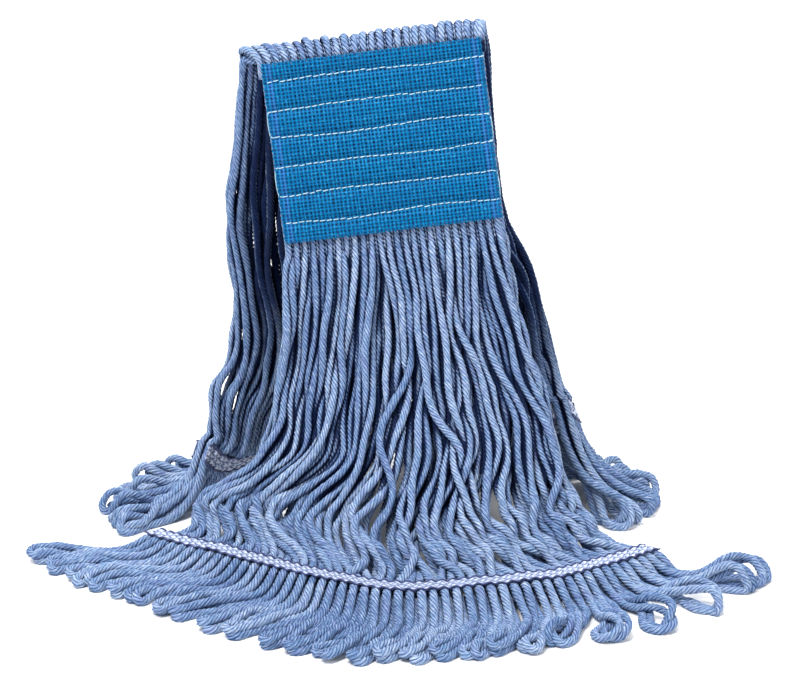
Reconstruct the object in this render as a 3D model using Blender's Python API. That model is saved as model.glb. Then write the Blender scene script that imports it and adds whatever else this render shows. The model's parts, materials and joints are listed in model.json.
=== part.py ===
"""Looped-end wet mop head: a mesh headband sewn across the middle of a bundle of yarn.

The headband stands up, leaning a little back and tipped a little to one side. One half of the
yarn leaves the band's lower edge and spreads forward over the floor. The other half rolls over
the band's top edge, falls behind it and spreads backward. Each half is held by a pair of tail
bands near its loop ends. Units are metres, +Z is up and the front faces -Y. The origin is on
the floor, under the middle of the object's box.
"""

import math

import bmesh
import bpy
import numpy as np
from mathutils import Vector

# ---------------------------------------------------------------- driving dimensions
BAND_WIDTH = 0.1525
BAND_HEIGHT = 0.127
BAND_FOOT = (-0.0015, 0.0320, 0.2250)  # middle of the band's lower edge
BAND_LEAN = math.radians(5.5)
BAND_ROLL = math.radians(7.26)
BAND_THICK = 0.0140
MESH_THICK = 0.0014
GAP = 0.0003

STITCH_ROWS = 6
STITCH_FIRST = 0.0135  # lower edge of the band to the lowest row
STITCH_PITCH = 0.0201
STITCH_GROOVE = 0.0018
STITCH_DEEP = 0.0009
THREAD_WIDE = 0.0012
THREAD_HIGH = 0.0005
STITCH_INSET = 0.0060

YARN_DIAMETER = 0.0058
KNUCKLE = 0.0056  # radius of the rounded end where each half starts to bend
KNUCKLE_DROP = 0.0062  # band edge to the bend's axis
FOLD_RISE = 0.0106
FOLD_FRONT = 0.0054
FOLD_BACK = 0.0200
REAR_SETBACK = 0.0140  # middle of the band to the rear half's bend axis

TAPE_WIDE = 0.0112
TAPE_THICK = 0.0012
TAPE_LAND = 0.0080  # half length of the flat stretch of yarn that a tail band covers
EDGE_WIDE = 0.0010
EDGE_HIGH = 0.0009

FRONT_LOCKS = 9
REAR_LOCKS = 8
LOCK_GAP = 0.0018  # half the gap between locks, as a share of the band's width

# Where the tail bands and the loop ends lie, from the left edge to the right edge.
FRONT_TAIL = (
    (-0.172, -0.016, 0.0100),
    (-0.131, -0.046, 0.0115),
    (-0.090, -0.075, 0.0130),
    (-0.048, -0.102, 0.0140),
    (-0.002, -0.124, 0.0150),
    (0.047, -0.119, 0.0150),
    (0.096, -0.106, 0.0140),
    (0.139, -0.078, 0.0125),
    (0.179, -0.047, 0.0110),
)
FRONT_TIPS = (
    (-0.263, -0.020, 0.0050),
    (-0.216, -0.082, 0.0050),
    (-0.168, -0.124, 0.0050),
    (-0.118, -0.158, 0.0050),
    (-0.058, -0.184, 0.0050),
    (0.010, -0.191, 0.0050),
    (0.088, -0.182, 0.0050),
    (0.180, -0.151, 0.0050),
    (0.263, -0.062, 0.0060),
)
REAR_TAIL = (
    (-0.141, 0.066, 0.0460),
    (-0.127, 0.084, 0.0320),
    (-0.100, 0.106, 0.0330),
    (-0.060, 0.121, 0.0400),
    (-0.008, 0.128, 0.0450),
    (0.045, 0.123, 0.0500),
    (0.092, 0.106, 0.0560),
    (0.124, 0.080, 0.0640),
    (0.119, 0.057, 0.0820),
)
REAR_TIPS = (
    (-0.178, 0.018, 0.0055),
    (-0.206, 0.066, 0.0055),
    (-0.172, 0.132, 0.0055),
    (-0.098, 0.178, 0.0055),
    (-0.004, 0.191, 0.0055),
    (0.082, 0.180, 0.0055),
    (0.148, 0.140, 0.0055),
    (0.188, 0.080, 0.0055),
    (0.164, 0.022, 0.0065),
)

# ---------------------------------------------------------------- frame of the headband
RIGHT = Vector((math.cos(BAND_ROLL), 0.0, math.sin(BAND_ROLL)))
UPRIGHT = Vector((-math.sin(BAND_ROLL), 0.0, math.cos(BAND_ROLL)))
UP = UPRIGHT * math.cos(BAND_LEAN) + Vector((0.0, 1.0, 0.0)) * math.sin(BAND_LEAN)
FRONT = UP.cross(RIGHT) * -1.0
FRONT = FRONT if FRONT.y < 0 else -FRONT


def band_point(across, up, out):
    """A point of the headband: across and up in metres from the middle of its lower edge."""
    return Vector(BAND_FOOT) + RIGHT * across + UP * up + FRONT * out


# ---------------------------------------------------------------- helpers
def material(name, colour, roughness):
    made = bpy.data.materials.new(name)
    made.use_nodes = True
    shader = made.node_tree.nodes["Principled BSDF"]
    shader.inputs["Base Color"].default_value = (*colour, 1.0)
    shader.inputs["Roughness"].default_value = roughness
    shader.inputs["Metallic"].default_value = 0.0
    made.diffuse_color = (*colour, 1.0)
    return made


def mesh_object(name, points, faces, mat, pivot=None, smooth=False):
    """A mesh object whose origin is its pivot, with its faces turned outward."""
    centre = Vector(pivot) if pivot is not None else sum(points, Vector()) / len(points)
    mesh = bpy.data.meshes.new(name)
    mesh.from_pydata([tuple(Vector(p) - centre) for p in points], [], faces)
    shape = bmesh.new()
    shape.from_mesh(mesh)
    bmesh.ops.triangulate(shape, faces=[f for f in shape.faces if len(f.verts) > 4])
    bmesh.ops.recalc_face_normals(shape, faces=shape.faces)
    if shape.calc_volume(signed=True) < 0:
        bmesh.ops.reverse_faces(shape, faces=shape.faces)
    shape.to_mesh(mesh)
    shape.free()
    mesh.materials.append(mat)
    for face in mesh.polygons:
        face.use_smooth = smooth
    obj = bpy.data.objects.new(name, mesh)
    bpy.context.scene.collection.objects.link(obj)
    obj.location = centre
    return obj


def loft(name, loops, mat, pivot=None, smooth=False):
    """A closed solid through equal loops of points, with a flat cap on its first and last."""
    count = len(loops[0])
    points = [p for ring in loops for p in ring]
    faces = []
    for i in range(len(loops) - 1):
        near, far = i * count, (i + 1) * count
        for j in range(count):
            k = (j + 1) % count
            faces.append((near + j, near + k, far + k))
            faces.append((near + j, far + k, far + j))
    # Each cap is cut along the same diagonals, so that neighbours' side walls lie parallel.
    last = (len(loops) - 1) * count
    for j in range(count // 2 - 1):
        a, b, c, d = j, j + 1, count - 2 - j, count - 1 - j
        faces += [(c, b, a), (d, c, a)]
        faces += [(last + a, last + b, last + c), (last + a, last + c, last + d)]
    return mesh_object(name, points, faces, mat, pivot, smooth)


def spline(table, share):
    """A smooth curve through the table's points, read at share from 0 to 1."""
    points = [Vector(p) for p in table]
    place = min(max(share, 0.0), 1.0) * (len(points) - 1)
    i = min(int(place), len(points) - 2)
    t = place - i
    before = points[i - 1] if i > 0 else points[i] * 2 - points[i + 1]
    after = points[i + 2] if i + 2 < len(points) else points[i + 1] * 2 - points[i]
    a, b = points[i], points[i + 1]
    return 0.5 * (
        2 * a
        + (b - before) * t
        + (2 * before - 5 * a + 4 * b - after) * t**2
        + (3 * a - before - 3 * b + after) * t**3
    )


def bezier(a, b, c, d, t):
    s = 1 - t
    return a * s**3 + b * 3 * s * s * t + c * 3 * s * t * t + d * t**3


# ---------------------------------------------------------------- course of the yarn
RISE_STEPS = (0.0, 0.08, 0.2, 0.34, 0.48, 0.62, 0.75, 0.87)
FRINGE_STEPS = (0.45, 0.75, 1.0)


def front_course(share):
    """Middle line of the front half at one place across it: bend axis, skirt, tail band, tips."""
    start = band_point((share - 0.5) * BAND_WIDTH, -KNUCKLE_DROP, 0.0)
    tail = spline(FRONT_TAIL, share)
    tip = spline(FRONT_TIPS, share)
    foot = Vector((start.x, start.y, tail.z))
    run = (tail - foot).normalized()
    first = start + Vector((0.034 * share**1.3 - 0.002, -0.011, -0.115 - 0.025 * (1 - share)))
    second = tail - run * (0.052 + 0.022 * abs(1 - 2 * share)) + Vector((0, 0, 0.014))
    line = [bezier(start, first, second, tail - run * TAPE_LAND, t) for t in RISE_STEPS]
    land_in = tail - run * TAPE_LAND + Vector((0, 0, 0.0006))
    land_out = tail + run * TAPE_LAND - Vector((0, 0, 0.0006))
    reach = tip - land_out
    turn = land_out + run * (reach.length * 0.42) - Vector((0, 0, 0.0030))
    out = [land_out * (1 - t) ** 2 + turn * 2 * t * (1 - t) + tip * t * t for t in FRINGE_STEPS]
    return line + [land_in, land_out] + out


def rear_course(share):
    """Middle line of the rear half: bend axis, curtain, tail band, tips."""
    start = band_point(
        (share - 0.5) * (BAND_WIDTH + 0.006), BAND_HEIGHT - KNUCKLE_DROP, -REAR_SETBACK
    )
    tail = spline(REAR_TAIL, share)
    tip = spline(REAR_TIPS, share)
    side = 2 * share - 1
    splay = -0.013 * (1 - share) ** 2 + 0.006 * share**2
    first = start + Vector((splay * 1.6, 0.006 + 0.004 * side * side, -0.110))
    run = (tip - tail).normalized()
    run = (run + Vector((0, 0, -0.9))).normalized()
    second = tail - run * 0.085
    line = [bezier(start, first, second, tail - run * TAPE_LAND, t) for t in RISE_STEPS]
    land_in = tail - run * TAPE_LAND
    land_out = tail + run * TAPE_LAND
    reach = tip - land_out
    turn = land_out + run * (reach.length * 0.45)
    turn.z = max(turn.z, 0.010)
    out = [land_out * (1 - t) ** 2 + turn * 2 * t * (1 - t) + tip * t * t for t in FRINGE_STEPS]
    return line + [land_in, land_out] + out


FRONT_HALF = (0.0056, 0.0068, 0.0082, 0.0090, 0.0092, 0.0090, 0.0086, 0.0078)
FRONT_LAND = (0.0062, 0.0058)
FRONT_FRINGE = (0.0052, 0.0050, 0.0050)
REAR_HALF = (0.0056, 0.0064, 0.0074, 0.0082, 0.0086, 0.0086, 0.0082, 0.0076)
REAR_LAND = (0.0066, 0.0064)
REAR_FRINGE = (0.0060, 0.0055, 0.0055)


def surfaces(course, thickness, share, axis_out):
    """Outer and inner points of a half at one place across it, and the way out at its tape."""
    step = 0.004
    here = course(share)
    left = course(max(share - step, 0.0))
    right = course(min(share + step, 1.0))
    outer, inner, ways = [], [], []
    for i, (point, half) in enumerate(zip(here, thickness)):
        along = here[min(i + 1, len(here) - 1)] - here[max(i - 1, 0)]
        across = right[i] - left[i]
        way = across.cross(along).normalized()
        if course is front_course:
            way = -way
        if i == 0:
            way = axis_out.normalized()
        ways.append(way)
    land = len(RISE_STEPS)
    level = (ways[land] + ways[land + 1]).normalized()
    ways[land] = level
    ways[land + 1] = level
    for i, (point, half) in enumerate(zip(here, thickness)):
        outer.append(point + ways[i] * half)
        low = point - ways[i] * half
        floor = 0.0022 if i in (land, land + 1) else 0.0
        low.z = max(low.z, floor)
        inner.append(low)
    return outer, inner, level


def outline(course, thickness, share, axis_out, toward_band):
    """The closed outline of a half at one place across it: outer side, tip, inner side, bend."""
    outer, inner, _ = surfaces(course, thickness, share, axis_out)
    pivot = course(share)[0]
    knuckle = []
    for step in (1, 2, 3, 4):
        angle = math.pi * step / 5
        knuckle.append(
            pivot + axis_out * (-KNUCKLE * math.cos(angle)) + toward_band * (KNUCKLE * math.sin(angle))
        )
    # The caps pair the loop's first half with its second, so the bend is shared between them.
    ring = knuckle[2:] + outer + inner[::-1] + knuckle[:2]
    return ring


def locks(prefix, count, course, thickness, mat, axis_out, toward_band, pivot):
    """The yarn of one half, as side-by-side locks."""
    made = []
    for i in range(count):
        low = i / count + LOCK_GAP
        high = (i + 1) / count - LOCK_GAP
        shares = [low + (high - low) * k / 3 for k in range(4)]
        rings = [outline(course, thickness, s, axis_out, toward_band) for s in shares]
        made.append(loft(f"{prefix}_{i + 1}", rings, mat, pivot, smooth=True))
    return made


def tape_shares(count):
    """The places across a half where its locks have corners, so that a tape lies parallel."""
    found = []
    for i in range(count):
        low = i / count + LOCK_GAP
        high = (i + 1) / count - LOCK_GAP
        found += [low + (high - low) * k / 3 for k in range(4)]
    return found


def tape(name, count, course, thickness, axis_out, mat, side, start, end, gap, thick, pivot):
    """A strip along the tail band's path: side 1 is the outer face of the yarn, -1 the inner."""
    land = len(RISE_STEPS)
    rings = []
    for share in tape_shares(count):
        outer, inner, level = surfaces(course, thickness, share, axis_out)
        face = outer if side > 0 else inner
        a, b = face[land], face[land + 1]
        near = a.lerp(b, 0.5 + start / (b - a).length)
        far = a.lerp(b, 0.5 + end / (b - a).length)
        low, high = level * side * gap, level * side * (gap + thick)
        ring = [near + low, far + low, far + high, near + high]
        rings.append(ring if side > 0 else [ring[1], ring[0], ring[3], ring[2]])
    return loft(name, rings, mat, pivot)


# ---------------------------------------------------------------- headband
def grooved_plate(name, face, inner, mat):
    """One mesh panel: a plate whose outer face has a groove for each row of stitching."""
    side = 1.0 if face > inner else -1.0
    profile = [(0.0, inner), (0.0, face)]
    for row in range(STITCH_ROWS):
        middle = STITCH_FIRST + row * STITCH_PITCH
        low, high = middle - STITCH_GROOVE / 2, middle + STITCH_GROOVE / 2
        deep = face - side * STITCH_DEEP
        profile += [(low, face), (low, deep), (high, deep), (high, face)]
    profile += [(BAND_HEIGHT, face), (BAND_HEIGHT, inner)]
    ends = []
    for across in (-BAND_WIDTH / 2, BAND_WIDTH / 2):
        ends.append([band_point(across, up, out) for up, out in profile])
    count = len(profile)
    points = ends[0] + ends[1]
    faces = [(j, (j + 1) % count, count + (j + 1) % count, count + j) for j in range(count)]
    faces.append(tuple(range(count - 1, -1, -1)))
    faces.append(tuple(range(count, 2 * count)))
    return mesh_object(name, points, faces, mat, band_point(0, BAND_HEIGHT / 2, face))


def band_box(name, across, up, out, mat):
    """A straight block in the headband's own frame."""
    rings = []
    for x in across:
        rings.append(
            [
                band_point(x, up[0], out[0]),
                band_point(x, up[1], out[0]),
                band_point(x, up[1], out[1]),
                band_point(x, up[0], out[1]),
            ]
        )
    return loft(name, rings, mat)


def build_headband(mats):
    face = BAND_THICK / 2
    grooved_plate("headband_front_mesh", face, face - MESH_THICK, mats["mesh"])
    grooved_plate("headband_back_mesh", -face, -(face - MESH_THICK), mats["mesh"])
    core = face - MESH_THICK - GAP
    band_box(
        "headband_yarn_core",
        (-BAND_WIDTH / 2 + 0.001, BAND_WIDTH / 2 - 0.001),
        (0.0, BAND_HEIGHT),
        (-core, core),
        mats["yarn"],
    )
    for row in range(STITCH_ROWS):
        middle = STITCH_FIRST + row * STITCH_PITCH
        up = (middle - THREAD_WIDE / 2, middle + THREAD_WIDE / 2)
        reach = BAND_WIDTH / 2 - STITCH_INSET
        bottom = face - STITCH_DEEP + GAP / 2
        number = STITCH_ROWS - row
        band_box(
            f"front_stitch_row_{number}",
            (-reach, reach),
            up,
            (bottom, bottom + THREAD_HIGH),
            mats["thread"],
        )
        band_box(
            f"back_stitch_row_{number}",
            (-reach, reach),
            up,
            (-bottom - THREAD_HIGH, -bottom),
            mats["thread"],
        )


def build_fold(mats):
    """The yarn as it leaves the band's top edge and rolls over to the back."""
    base = BAND_HEIGHT + GAP
    middle = (FOLD_FRONT - FOLD_BACK) / 2
    reach = (FOLD_FRONT + FOLD_BACK) / 2
    profile = []
    for step in range(13):
        angle = math.pi * step / 12
        rise = FOLD_RISE * math.sin(angle) ** 0.85 if 0 < step < 12 else 0.0
        profile.append((base + rise + 0.0008, middle + reach * math.cos(angle)))
    profile = [(base, FOLD_FRONT)] + profile + [(base, -FOLD_BACK)]
    ends = []
    for across in (-BAND_WIDTH / 2 - 0.002, -BAND_WIDTH / 6, BAND_WIDTH / 6, BAND_WIDTH / 2 + 0.002):
        ends.append([band_point(across, up, out) for up, out in profile])
    count = len(profile)
    points = [p for end in ends for p in end]
    faces = []
    for i in range(len(ends) - 1):
        for j in range(count):
            k = (j + 1) % count
            faces.append((i * count + j, i * count + k, (i + 1) * count + k, (i + 1) * count + j))
    last = (len(ends) - 1) * count
    faces.append(tuple(range(count - 1, -1, -1)))
    faces.append(tuple(last + j for j in range(count)))
    mesh_object("top_fold_yarn", points, faces, mats["yarn"], band_point(0, base, middle), True)


def build_half(name, count, course, thickness, axis_out, toward_band, pivot, faces, mats):
    locks(f"{name}_yarn_lock", count, course, thickness, mats["yarn"], axis_out, toward_band, pivot)
    half = TAPE_WIDE / 2
    for word, side in faces:
        strip = dict(count=count, course=course, thickness=thickness, axis_out=axis_out)
        strip.update(side=side, gap=GAP, pivot=pivot)
        tape(
            f"{name}_tail_band_{word}",
            mat=mats["tape"],
            start=-half,
            end=half,
            thick=TAPE_THICK,
            **strip,
        )
        for edge, sign in (("inner", -1.0), ("outer", 1.0)):
            near = sign * (half + GAP)
            far = sign * (half + GAP + EDGE_WIDE)
            tape(
                f"{name}_tail_{word}_{edge}_edge",
                mat=mats["edge"],
                start=min(near, far),
                end=max(near, far),
                thick=EDGE_HIGH,
                **strip,
            )


def main():
    for obj in list(bpy.data.objects):
        bpy.data.objects.remove(obj, do_unlink=True)
    mats = {
        "mesh": material("coated_mesh", (0.003, 0.17, 0.42), 0.45),
        "yarn": material("blended_yarn", (0.20, 0.30, 0.50), 0.9),
        "thread": material("white_thread", (0.80, 0.86, 0.88), 0.6),
        "tape": material("tail_band_braid", (0.55, 0.60, 0.68), 0.75),
        "edge": material("tail_band_edging", (0.02, 0.04, 0.16), 0.7),
    }
    build_headband(mats)
    build_fold(mats)
    build_half(
        "front",
        FRONT_LOCKS,
        front_course,
        FRONT_HALF + FRONT_LAND + FRONT_FRINGE,
        FRONT,
        UP,
        band_point(0, -KNUCKLE_DROP, 0),
        (("upper", 1), ("lower", -1)),
        mats,
    )
    build_half(
        "rear",
        REAR_LOCKS,
        rear_course,
        REAR_HALF + REAR_LAND + REAR_FRINGE,
        -FRONT,
        UP,
        band_point(0, BAND_HEIGHT - KNUCKLE_DROP, -REAR_SETBACK),
        (("outer", 1), ("inner", -1)),
        mats,
    )


main()
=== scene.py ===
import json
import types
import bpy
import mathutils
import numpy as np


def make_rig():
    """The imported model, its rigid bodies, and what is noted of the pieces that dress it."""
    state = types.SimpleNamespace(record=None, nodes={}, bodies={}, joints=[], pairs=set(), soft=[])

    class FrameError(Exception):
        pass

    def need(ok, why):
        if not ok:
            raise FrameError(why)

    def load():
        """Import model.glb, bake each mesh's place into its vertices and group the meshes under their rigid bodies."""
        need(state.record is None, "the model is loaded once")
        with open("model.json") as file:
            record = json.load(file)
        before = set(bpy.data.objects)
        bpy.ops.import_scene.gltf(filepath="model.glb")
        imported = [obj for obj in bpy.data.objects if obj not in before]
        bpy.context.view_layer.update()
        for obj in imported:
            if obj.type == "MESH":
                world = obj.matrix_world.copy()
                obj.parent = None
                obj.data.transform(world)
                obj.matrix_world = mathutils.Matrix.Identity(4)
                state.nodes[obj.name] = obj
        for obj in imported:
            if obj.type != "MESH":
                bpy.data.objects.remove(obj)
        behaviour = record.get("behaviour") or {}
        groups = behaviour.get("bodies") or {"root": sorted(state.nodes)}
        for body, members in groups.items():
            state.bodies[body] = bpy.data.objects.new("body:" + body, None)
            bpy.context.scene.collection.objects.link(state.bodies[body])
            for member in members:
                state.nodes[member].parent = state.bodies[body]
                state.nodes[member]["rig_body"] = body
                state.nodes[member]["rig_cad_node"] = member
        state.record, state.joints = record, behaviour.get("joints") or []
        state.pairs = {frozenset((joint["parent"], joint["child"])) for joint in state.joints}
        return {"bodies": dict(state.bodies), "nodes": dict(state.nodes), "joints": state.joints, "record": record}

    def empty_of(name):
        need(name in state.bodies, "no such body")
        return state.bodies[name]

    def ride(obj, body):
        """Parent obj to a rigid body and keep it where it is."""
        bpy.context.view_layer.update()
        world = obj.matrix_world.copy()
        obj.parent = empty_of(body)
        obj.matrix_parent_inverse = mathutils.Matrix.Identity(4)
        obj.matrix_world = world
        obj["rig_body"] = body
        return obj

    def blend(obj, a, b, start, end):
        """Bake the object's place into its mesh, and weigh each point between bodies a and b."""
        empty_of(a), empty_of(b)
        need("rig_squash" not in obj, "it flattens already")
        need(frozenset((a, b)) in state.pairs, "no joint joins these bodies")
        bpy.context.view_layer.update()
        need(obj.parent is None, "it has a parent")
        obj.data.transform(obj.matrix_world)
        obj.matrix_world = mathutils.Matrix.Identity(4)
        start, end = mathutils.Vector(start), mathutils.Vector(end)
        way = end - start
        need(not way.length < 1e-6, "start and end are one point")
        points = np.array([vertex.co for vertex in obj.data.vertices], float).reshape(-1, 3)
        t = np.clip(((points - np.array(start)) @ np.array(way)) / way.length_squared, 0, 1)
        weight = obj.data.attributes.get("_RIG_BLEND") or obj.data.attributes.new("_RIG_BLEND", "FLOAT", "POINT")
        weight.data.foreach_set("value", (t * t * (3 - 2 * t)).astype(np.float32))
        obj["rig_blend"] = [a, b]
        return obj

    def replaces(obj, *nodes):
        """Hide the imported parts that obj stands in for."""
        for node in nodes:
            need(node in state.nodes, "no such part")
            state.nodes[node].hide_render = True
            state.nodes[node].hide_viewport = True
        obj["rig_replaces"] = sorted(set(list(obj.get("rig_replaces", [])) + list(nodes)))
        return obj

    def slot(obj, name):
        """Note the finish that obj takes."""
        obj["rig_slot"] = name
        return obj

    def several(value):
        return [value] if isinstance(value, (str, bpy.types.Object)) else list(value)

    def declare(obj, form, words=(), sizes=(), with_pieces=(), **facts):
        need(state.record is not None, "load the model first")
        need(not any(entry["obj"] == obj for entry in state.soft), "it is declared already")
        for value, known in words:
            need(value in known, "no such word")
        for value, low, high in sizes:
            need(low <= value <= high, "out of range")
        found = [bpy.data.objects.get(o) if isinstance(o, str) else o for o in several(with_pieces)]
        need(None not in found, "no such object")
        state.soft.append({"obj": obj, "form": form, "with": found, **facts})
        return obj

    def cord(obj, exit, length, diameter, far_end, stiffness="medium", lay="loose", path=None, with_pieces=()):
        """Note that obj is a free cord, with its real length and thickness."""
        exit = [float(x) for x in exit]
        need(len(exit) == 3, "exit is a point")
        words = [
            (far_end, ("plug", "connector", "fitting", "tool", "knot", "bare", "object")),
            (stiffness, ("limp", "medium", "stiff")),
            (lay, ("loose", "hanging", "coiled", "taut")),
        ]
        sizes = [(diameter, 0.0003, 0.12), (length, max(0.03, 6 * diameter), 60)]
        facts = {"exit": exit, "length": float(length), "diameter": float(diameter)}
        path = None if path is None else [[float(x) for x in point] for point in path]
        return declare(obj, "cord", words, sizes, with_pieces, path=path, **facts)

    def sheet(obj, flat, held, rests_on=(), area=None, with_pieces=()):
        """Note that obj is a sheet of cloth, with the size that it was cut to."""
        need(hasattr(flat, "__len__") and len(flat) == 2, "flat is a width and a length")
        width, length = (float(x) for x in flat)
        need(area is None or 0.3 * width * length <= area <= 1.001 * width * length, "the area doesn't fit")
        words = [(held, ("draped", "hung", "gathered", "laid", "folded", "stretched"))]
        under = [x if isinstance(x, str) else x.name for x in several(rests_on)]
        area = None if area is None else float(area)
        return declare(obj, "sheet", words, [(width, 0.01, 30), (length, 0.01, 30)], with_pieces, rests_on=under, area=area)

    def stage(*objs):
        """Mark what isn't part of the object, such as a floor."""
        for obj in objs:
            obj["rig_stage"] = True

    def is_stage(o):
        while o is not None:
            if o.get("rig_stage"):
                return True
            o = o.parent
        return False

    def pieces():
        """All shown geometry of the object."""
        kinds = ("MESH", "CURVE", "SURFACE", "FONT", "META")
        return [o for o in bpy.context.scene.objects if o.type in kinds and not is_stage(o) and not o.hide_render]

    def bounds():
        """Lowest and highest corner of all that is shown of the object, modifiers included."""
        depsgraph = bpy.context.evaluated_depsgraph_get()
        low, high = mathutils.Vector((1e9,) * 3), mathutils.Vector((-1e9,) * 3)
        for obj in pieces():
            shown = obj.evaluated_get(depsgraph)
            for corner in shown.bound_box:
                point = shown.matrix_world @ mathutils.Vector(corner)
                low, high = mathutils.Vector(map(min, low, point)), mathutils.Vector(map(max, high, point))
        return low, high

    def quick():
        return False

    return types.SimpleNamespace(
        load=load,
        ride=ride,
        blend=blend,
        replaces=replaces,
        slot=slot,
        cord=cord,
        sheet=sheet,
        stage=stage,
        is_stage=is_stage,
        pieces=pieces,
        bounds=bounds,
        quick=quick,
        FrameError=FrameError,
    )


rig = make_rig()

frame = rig.load()

import json
import math

import bpy
import numpy as np

BOUNDS_OF_CAD = [list(corner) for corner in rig.bounds()]

# ---- sizes shared with the CAD, in metres
BAND_WIDTH = 0.1525
BAND_HEIGHT = 0.127
BAND_FOOT = np.array((-0.0015, 0.032, 0.225))  # middle of the band's lower edge
BAND_LEAN = math.radians(5.5)  # away from the camera
BAND_ROLL = math.radians(7.26)  # the right end is the higher one
BAND_HALF = 0.007  # half the band's thickness, mesh and all
KNUCKLE_DROP = 0.0062  # how far outside the band the halves begin to hang
REAR_SETBACK = 0.014  # how far behind the band's middle the rear half hangs
FOLD_MIDDLE = -0.007  # middle of the roll over the top edge, out from the band's middle
YARN = 0.0054  # thickness of the yarn
TAPE_LAND = 0.008  # half the stretch of yarn that a tail band holds
TAPE_WIDE = 0.0112
FLOOR_REST = YARN / 2  # height of a yarn's middle when it lies on the floor
FRONT_TAIL = np.array((
    (-0.172, -0.016, 0.01), (-0.131, -0.046, 0.0115), (-0.09, -0.075, 0.013),
    (-0.048, -0.102, 0.014), (-0.002, -0.124, 0.015), (0.047, -0.119, 0.015),
    (0.096, -0.106, 0.014), (0.139, -0.078, 0.0125), (0.179, -0.047, 0.011),
))
REAR_TAIL = np.array((
    (-0.141, 0.066, 0.046), (-0.127, 0.084, 0.032), (-0.1, 0.106, 0.033),
    (-0.06, 0.121, 0.04), (-0.008, 0.128, 0.045), (0.045, 0.123, 0.05),
    (0.092, 0.106, 0.056), (0.124, 0.08, 0.064), (0.119, 0.057, 0.082),
))
REAR_TIPS = np.array((
    (-0.178, 0.018, 0.0055), (-0.206, 0.066, 0.0055), (-0.172, 0.132, 0.0055),
    (-0.098, 0.178, 0.0055), (-0.004, 0.191, 0.0055), (0.082, 0.18, 0.0055),
    (0.148, 0.14, 0.0055), (0.188, 0.08, 0.0055), (0.164, 0.022, 0.0065),
))
RIGHT = np.array((math.cos(BAND_ROLL), 0.0, math.sin(BAND_ROLL)))
UPRIGHT = np.array((-math.sin(BAND_ROLL), 0.0, math.cos(BAND_ROLL)))
UP = UPRIGHT * math.cos(BAND_LEAN) + np.array((0.0, math.sin(BAND_LEAN), 0.0))
FRONT = np.cross(RIGHT, UP)

# ---- the yarn
COLUMNS = 26
LAYERS = 4
LAYER_NAMES = ("outer", "second", "third", "inner")
NEIGHBOUR = 0.004  # share of a half between two places that give its slope
FRINGE_LENGTH = 0.098  # middle of a tail band to the end of a loop
STEP = 0.0042  # spacing of the yarn's points while it settles
RING = 0.0026  # spacing of the finished yarn's rings
HUNG_POINTS = 120  # points of a hanging yarn before it is stepped
LOOP_POINTS = 90  # points along the middle of a loop
PLY_PITCH = 0.0205  # one turn of the plies
LAYER_OUT = (0.0028, 0.001, -0.001, -0.0028)  # out from the band's middle plane
TAPE_OUT = (0.0036, 0.0034, -0.003, -0.0032)  # out from the middle of the tail band


# ---- small helpers
TAU = 2 * math.pi


def unit(v):
    return v / np.maximum(np.linalg.norm(v, axis=-1, keepdims=True), 1e-12)


def smooth(x):
    x = np.clip(x, 0.0, 1.0)
    return x * x * (3 - 2 * x)


def band_point(across, up, out):
    across, up, out = np.broadcast_arrays(
        np.asarray(across, float), np.asarray(up, float), np.asarray(out, float)
    )
    return BAND_FOOT + across[..., None] * RIGHT + up[..., None] * UP + out[..., None] * FRONT


def with_ends(points):
    """The points with one more beyond each end, in line with the last two."""
    return np.vstack([2 * points[0] - points[1], points, 2 * points[-1] - points[-2]])


def between(before, a, b, after, t):
    """A smooth curve from a at t = 0 to b at t = 1, led by the points before and after."""
    return 0.5 * (
        2 * a
        + (b - before) * t
        + (2 * before - 5 * a + 4 * b - after) * t**2
        + (3 * a - before - 3 * b + after) * t**3
    )


def spline(table, share):
    """A smooth curve through the table's points, read at shares from 0 to 1."""
    share = np.clip(np.asarray(share, float), 0.0, 1.0) * (len(table) - 1)
    i = np.minimum(share.astype(int), len(table) - 2)
    full = with_ends(table)
    return between(full[i], full[i + 1], full[i + 2], full[i + 3], (share - i)[..., None])


def bezier(a, b, c, d, t):
    s = 1 - t
    return a * s**3 + b * 3 * s * s * t + c * 3 * s * t * t + d * t**3


def lengths(lines):
    return np.linalg.norm(np.diff(lines, axis=-2), axis=-1).sum(-1)


def steps(line):
    """How many of the settling yarn's steps fit in a line."""
    return round(float(lengths(line)) / STEP)


def runs_along(line):
    """The distance along a line to each of its points."""
    return np.concatenate([[0.0], np.cumsum(np.linalg.norm(np.diff(line, axis=0), axis=1))])


def read_line(line, run, at):
    """The points at the distances at along a line whose own points lie at run."""
    return np.stack([np.interp(at, run, line[:, k]) for k in range(3)], axis=1)


def resample(line, count):
    """The same line as count + 1 evenly spaced points."""
    run = runs_along(line)
    return read_line(line, run, np.linspace(0.0, run[-1], count + 1))


def wander(count, waves, rng):
    """A smooth random curve over count places, about -1 to 1."""
    x = np.linspace(0.0, 1.0, count)
    made = np.zeros(count)
    for wave in range(1, waves + 1):
        made += rng.normal() * np.sin(math.pi * wave * x + rng.uniform(0, TAU)) / wave**0.5
    return made / (np.abs(made).max() + 1e-9)


def uneven(along, spacing, spare, rng):
    """A random value at every spacing along a line, with straight changes between them."""
    marks = np.arange(0, along[-1] + spare, spacing)
    return np.interp(along, marks, rng.normal(size=len(marks)))


def bump(t, middle, reach):
    """A single smooth rise of height 1 around the middle."""
    x = np.clip((t - middle) / reach, -1.0, 1.0)
    return np.cos(x * math.pi / 2) ** 2


# ---- courses of the two halves
def front_run(u):
    """Which way the front yarn runs where it passes through its tail band: level and outward."""
    start = band_point((u - 0.5) * BAND_WIDTH, -KNUCKLE_DROP, 0.0)
    tail = spline(FRONT_TAIL, u)
    start[..., 2] = tail[..., 2]
    return unit(tail - start)


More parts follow.
